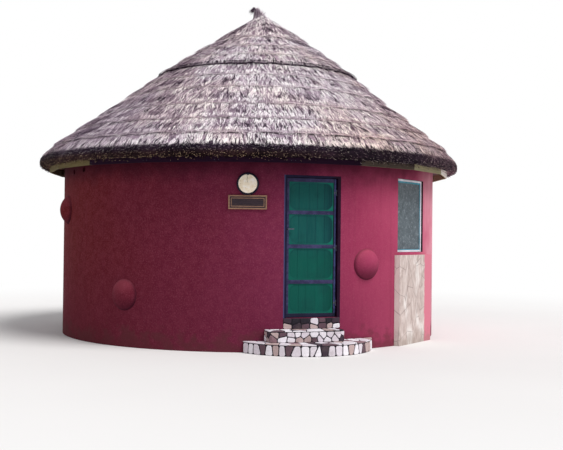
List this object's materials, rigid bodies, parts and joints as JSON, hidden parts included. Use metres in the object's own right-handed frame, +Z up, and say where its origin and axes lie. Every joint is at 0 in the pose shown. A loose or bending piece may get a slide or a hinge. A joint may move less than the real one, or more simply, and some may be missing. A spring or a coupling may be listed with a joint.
{
  "type": "rondavel hut",
  "caption": "Round masonry hut on a raised floor under a stepped thatched cone roof, with a panelled door that swings out, windows, wall lamp, sign board and stone-clad steps.",
  "frame": {"origin": "on the hut's axis at ground level, in the middle of the base", "axes": "+Z up; the door faces -Y and +X is to the right of someone facing the door"},
  "size_m": [7.4598, 7.6099, 5.9287],
  "materials": {
    "red_plaster": "limewashed plaster, crimson, matt",
    "concrete": "floated cement",
    "plate_timber": "sawn timber",
    "poles": "round poles, bark off",
    "fascia_timber": "weathered board",
    "thatch": "dry grass thatch, grey and brown",
    "frame_paint": "dark blue-grey paint",
    "door_green": "green paint",
    "hinge_steel": "dull steel",
    "window_metal": "dull metal",
    "window_glass": "dark pane behind fly mesh",
    "slab_stone": "cream stone slab",
    "lamp_rim": "dark enamel",
    "lamp_glass": "opal glass",
    "sign_wood": "dark stained wood",
    "step_stone": "mixed stone pieces in dark mortar"
  },
  "bodies": {
    "hut": {"base_fill": "concrete", "floor_slab": "concrete", "wall_front_left": "red_plaster", "wall_left": "red_plaster", "wall_back_left": "red_plaster", "wall_back": "red_plaster", "wall_back_right": "red_plaster", "wall_right_rear": "red_plaster", "wall_right": "red_plaster", "wall_front_right": "red_plaster", "wall_over_door": "red_plaster", "wall_under_door": "red_plaster", "walls_over_windows": "red_plaster", "walls_under_windows": "red_plaster", "wall_plate": "plate_timber", "rafters": "poles", "purlins": "poles", "apex_hub": "poles", "fascia_boards": "fascia_timber", "thatch_course_1": "thatch", "thatch_course_2": "thatch", "thatch_course_3": "thatch", "thatch_course_4": "thatch", "thatch_course_5": "thatch", "thatch_course_6": "thatch", "thatch_course_7": "thatch", "thatch_course_8": "thatch", "thatch_course_9": "thatch", "thatch_cap": "thatch", "cap_tuft": "thatch", "door_frame": "frame_paint", "frame_hinges": "hinge_steel", "window_frames": "window_metal", "window_panes": "window_glass", "slab_panels": "slab_stone", "wall_bosses": "red_plaster", "lamp_ring": "lamp_rim", "lamp_lens": "lamp_glass", "sign_board": "sign_wood", "step_low": "step_stone", "step_middle": "step_stone"},
    "door": {"door_hinges": "hinge_steel", "door_leaf": "frame_paint", "door_panels": "door_green", "door_handle": "hinge_steel"}
  },
  "joints": [
    {"name": "door_swing", "type": "hinge", "parent": "hut", "child": "door", "pos_m": [0.39, -3.23117, 0.507], "axis": [0, 0, 1], "range_deg": [0, 90]}
  ]
}
